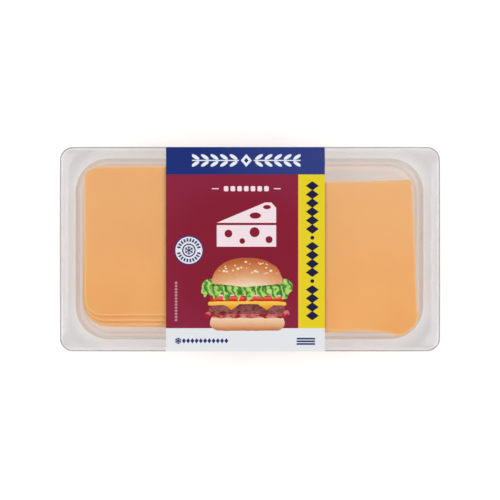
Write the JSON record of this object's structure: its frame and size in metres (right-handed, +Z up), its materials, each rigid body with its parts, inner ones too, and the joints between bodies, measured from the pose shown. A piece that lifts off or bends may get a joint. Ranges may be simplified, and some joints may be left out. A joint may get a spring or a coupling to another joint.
{
  "type": "pack of sliced cheese",
  "caption": "Flat clear tray of square cheese slices in two stacks, closed by a clear film with a printed label across it.",
  "frame": {"origin": "middle of the underside, on the surface the pack lies on", "axes": "+X along the long side, +Y along the short side towards the label's dark band, +Z up out of the lid"},
  "size_m": [0.215, 0.1156, 0.0353],
  "materials": {
    "clear_tray": "clear, glossy thermoformed sheet",
    "clear_film": "clear, glossy sealing film",
    "printed_label": "smooth print in fields of dark blue, wine red, yellow and white",
    "cheese": "soft, slightly waxy orange cheese"
  },
  "bodies": {
    "root": {"tray": "clear_tray", "lid_film": "clear_film", "label": "printed_label", "slice_left_01": "cheese", "slice_left_02": "cheese", "slice_left_03": "cheese", "slice_left_04": "cheese", "slice_left_05": "cheese", "slice_left_06": "cheese", "slice_left_07": "cheese", "slice_left_08": "cheese", "slice_left_09": "cheese", "slice_left_10": "cheese", "slice_left_11": "cheese", "slice_left_12": "cheese", "slice_left_13": "cheese", "slice_left_14": "cheese", "slice_left_15": "cheese", "slice_left_16": "cheese", "slice_right_01": "cheese", "slice_right_02": "cheese", "slice_right_03": "cheese", "slice_right_04": "cheese", "slice_right_05": "cheese", "slice_right_06": "cheese", "slice_right_07": "cheese", "slice_right_08": "cheese", "slice_right_09": "cheese", "slice_right_10": "cheese", "slice_right_11": "cheese", "slice_right_12": "cheese", "slice_right_13": "cheese", "slice_right_14": "cheese", "slice_right_15": "cheese", "slice_right_16": "cheese"}
  },
  "joints": []
}
